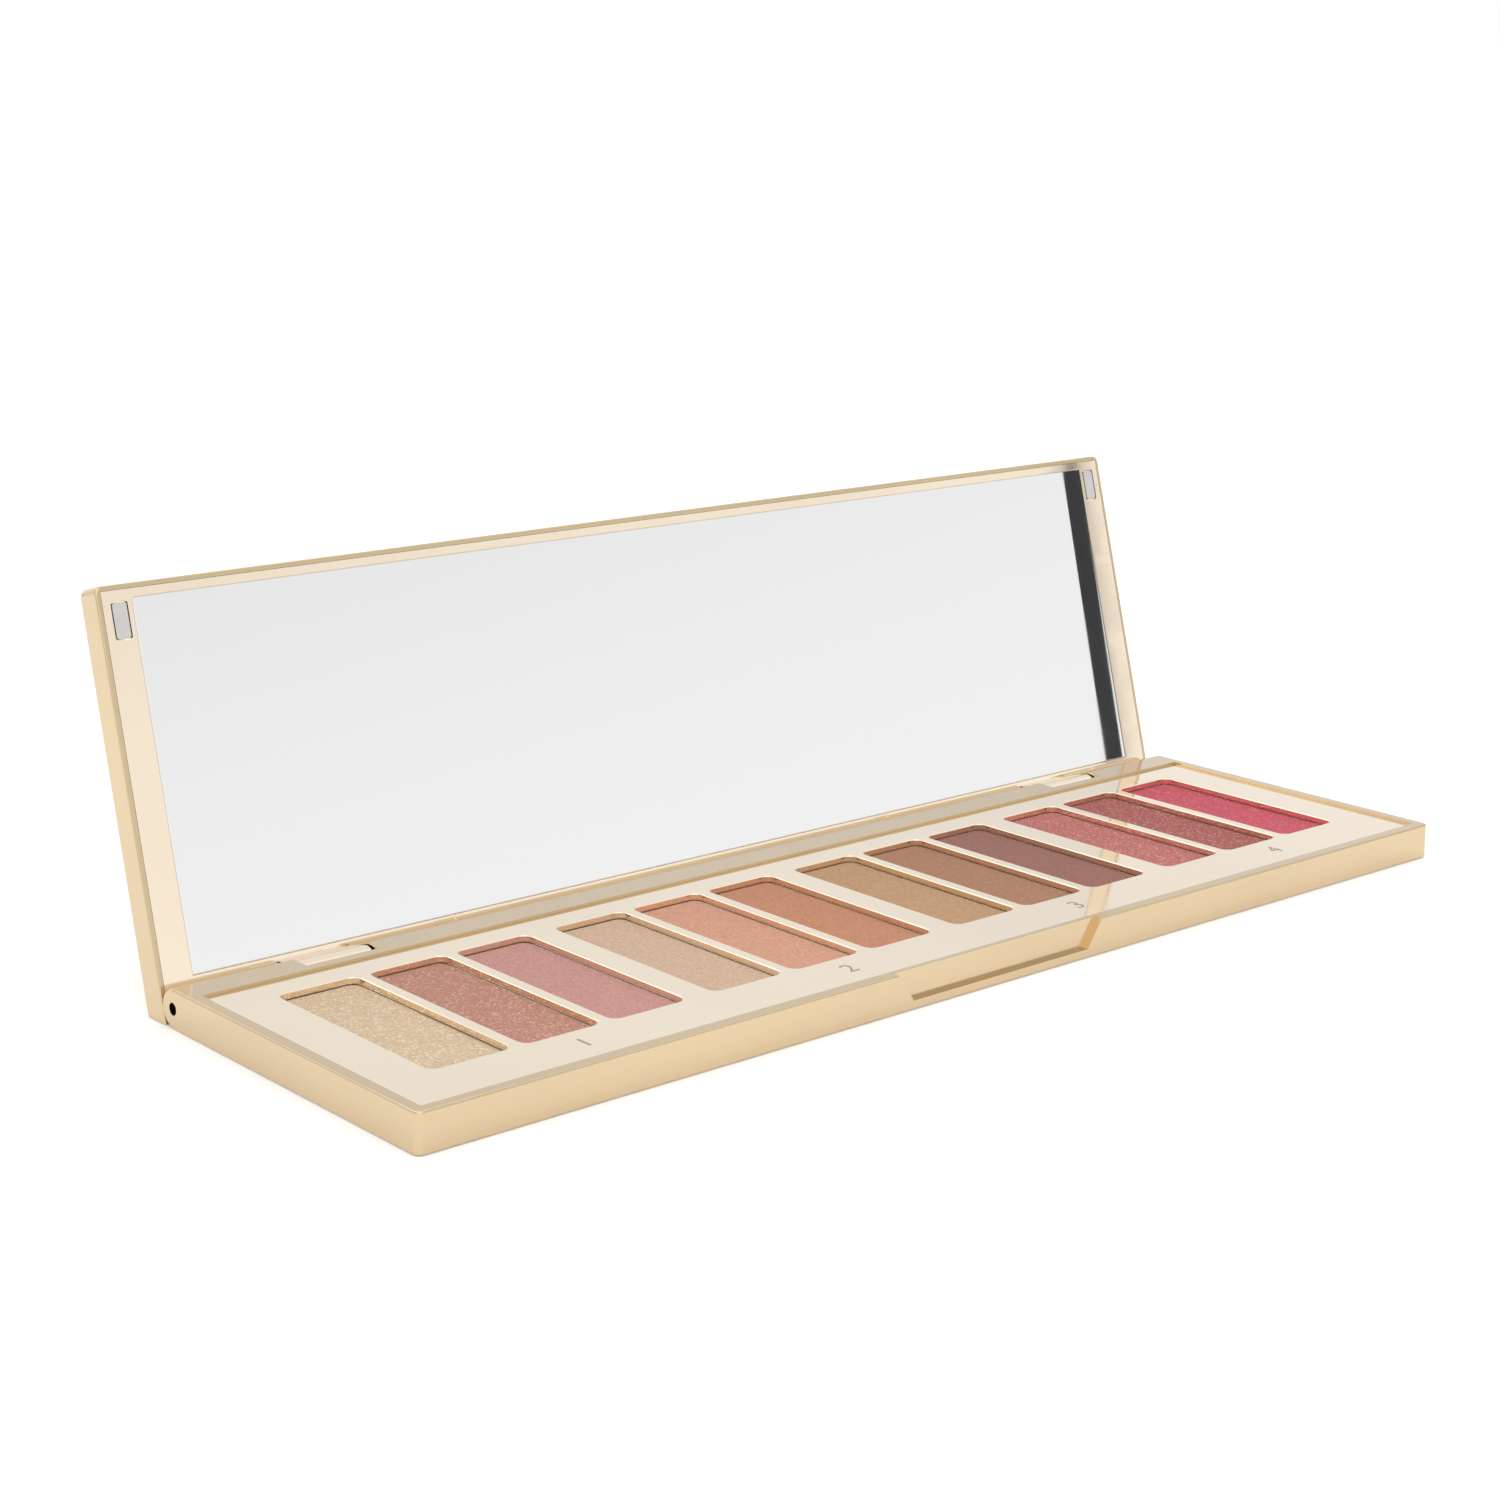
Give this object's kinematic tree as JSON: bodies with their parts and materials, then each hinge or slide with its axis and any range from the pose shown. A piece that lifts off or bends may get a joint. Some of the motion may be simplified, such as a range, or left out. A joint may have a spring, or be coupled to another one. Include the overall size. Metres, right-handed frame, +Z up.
{
  "type": "eyeshadow palette",
  "caption": "Slim hinged palette with a mirror in its lid and a row of long narrow powder pans in its tray.",
  "frame": {"origin": "centre of the base's bottom face", "axes": "+X along the palette to the user's right, -Y towards the user at the front edge, +Z up"},
  "size_m": [0.21, 0.084, 0.0607],
  "materials": {
    "case_gold": "metallised pale champagne gold, glossy",
    "tray_gold": "metallised pale gold, mirror-like gloss",
    "carrier_plastic": "moulded plain",
    "glue": "set glue",
    "tape": "foam tape",
    "mirror_glass": "silvered",
    "pan_metal": "pressed, bright rim",
    "pin_steel": "drawn wire",
    "magnet": "nickel plated, satin",
    "powder_01": "pressed powder",
    "powder_02": "pressed powder",
    "powder_03": "pressed powder",
    "powder_04": "pressed powder",
    "powder_05": "pressed powder",
    "powder_06": "pressed powder",
    "powder_07": "pressed powder",
    "powder_08": "pressed powder",
    "powder_09": "pressed powder",
    "powder_10": "pressed powder",
    "powder_11": "pressed powder",
    "powder_12": "pressed powder"
  },
  "bodies": {
    "base": {"base_shell": "case_gold", "tray_plate": "tray_gold", "pan_carrier": "carrier_plastic", "pan_glue_dots": "glue", "pan_01": "pan_metal", "pan_02": "pan_metal", "pan_03": "pan_metal", "pan_04": "pan_metal", "pan_05": "pan_metal", "pan_06": "pan_metal", "pan_07": "pan_metal", "pan_08": "pan_metal", "pan_09": "pan_metal", "pan_10": "pan_metal", "pan_11": "pan_metal", "pan_12": "pan_metal", "powder_01": "powder_01", "powder_02": "powder_02", "powder_03": "powder_03", "powder_04": "powder_04", "powder_05": "powder_05", "powder_06": "powder_06", "powder_07": "powder_07", "powder_08": "powder_08", "powder_09": "powder_09", "powder_10": "powder_10", "powder_11": "powder_11", "powder_12": "powder_12", "hinge_pin_left": "pin_steel", "hinge_pin_right": "pin_steel", "base_magnet_left": "magnet", "base_magnet_right": "magnet"},
    "lid": {"lid_shell": "case_gold", "mirror_frame": "tray_gold", "mirror": "mirror_glass", "mirror_tape": "tape", "lid_magnet_left": "magnet", "lid_magnet_right": "magnet"}
  },
  "joints": [
    {"name": "lid_hinge", "type": "hinge", "parent": "base", "child": "lid", "pos_m": [0, 0.0288, 0.003], "axis": [1, 0, 0], "range_deg": [0, 105]}
  ]
}
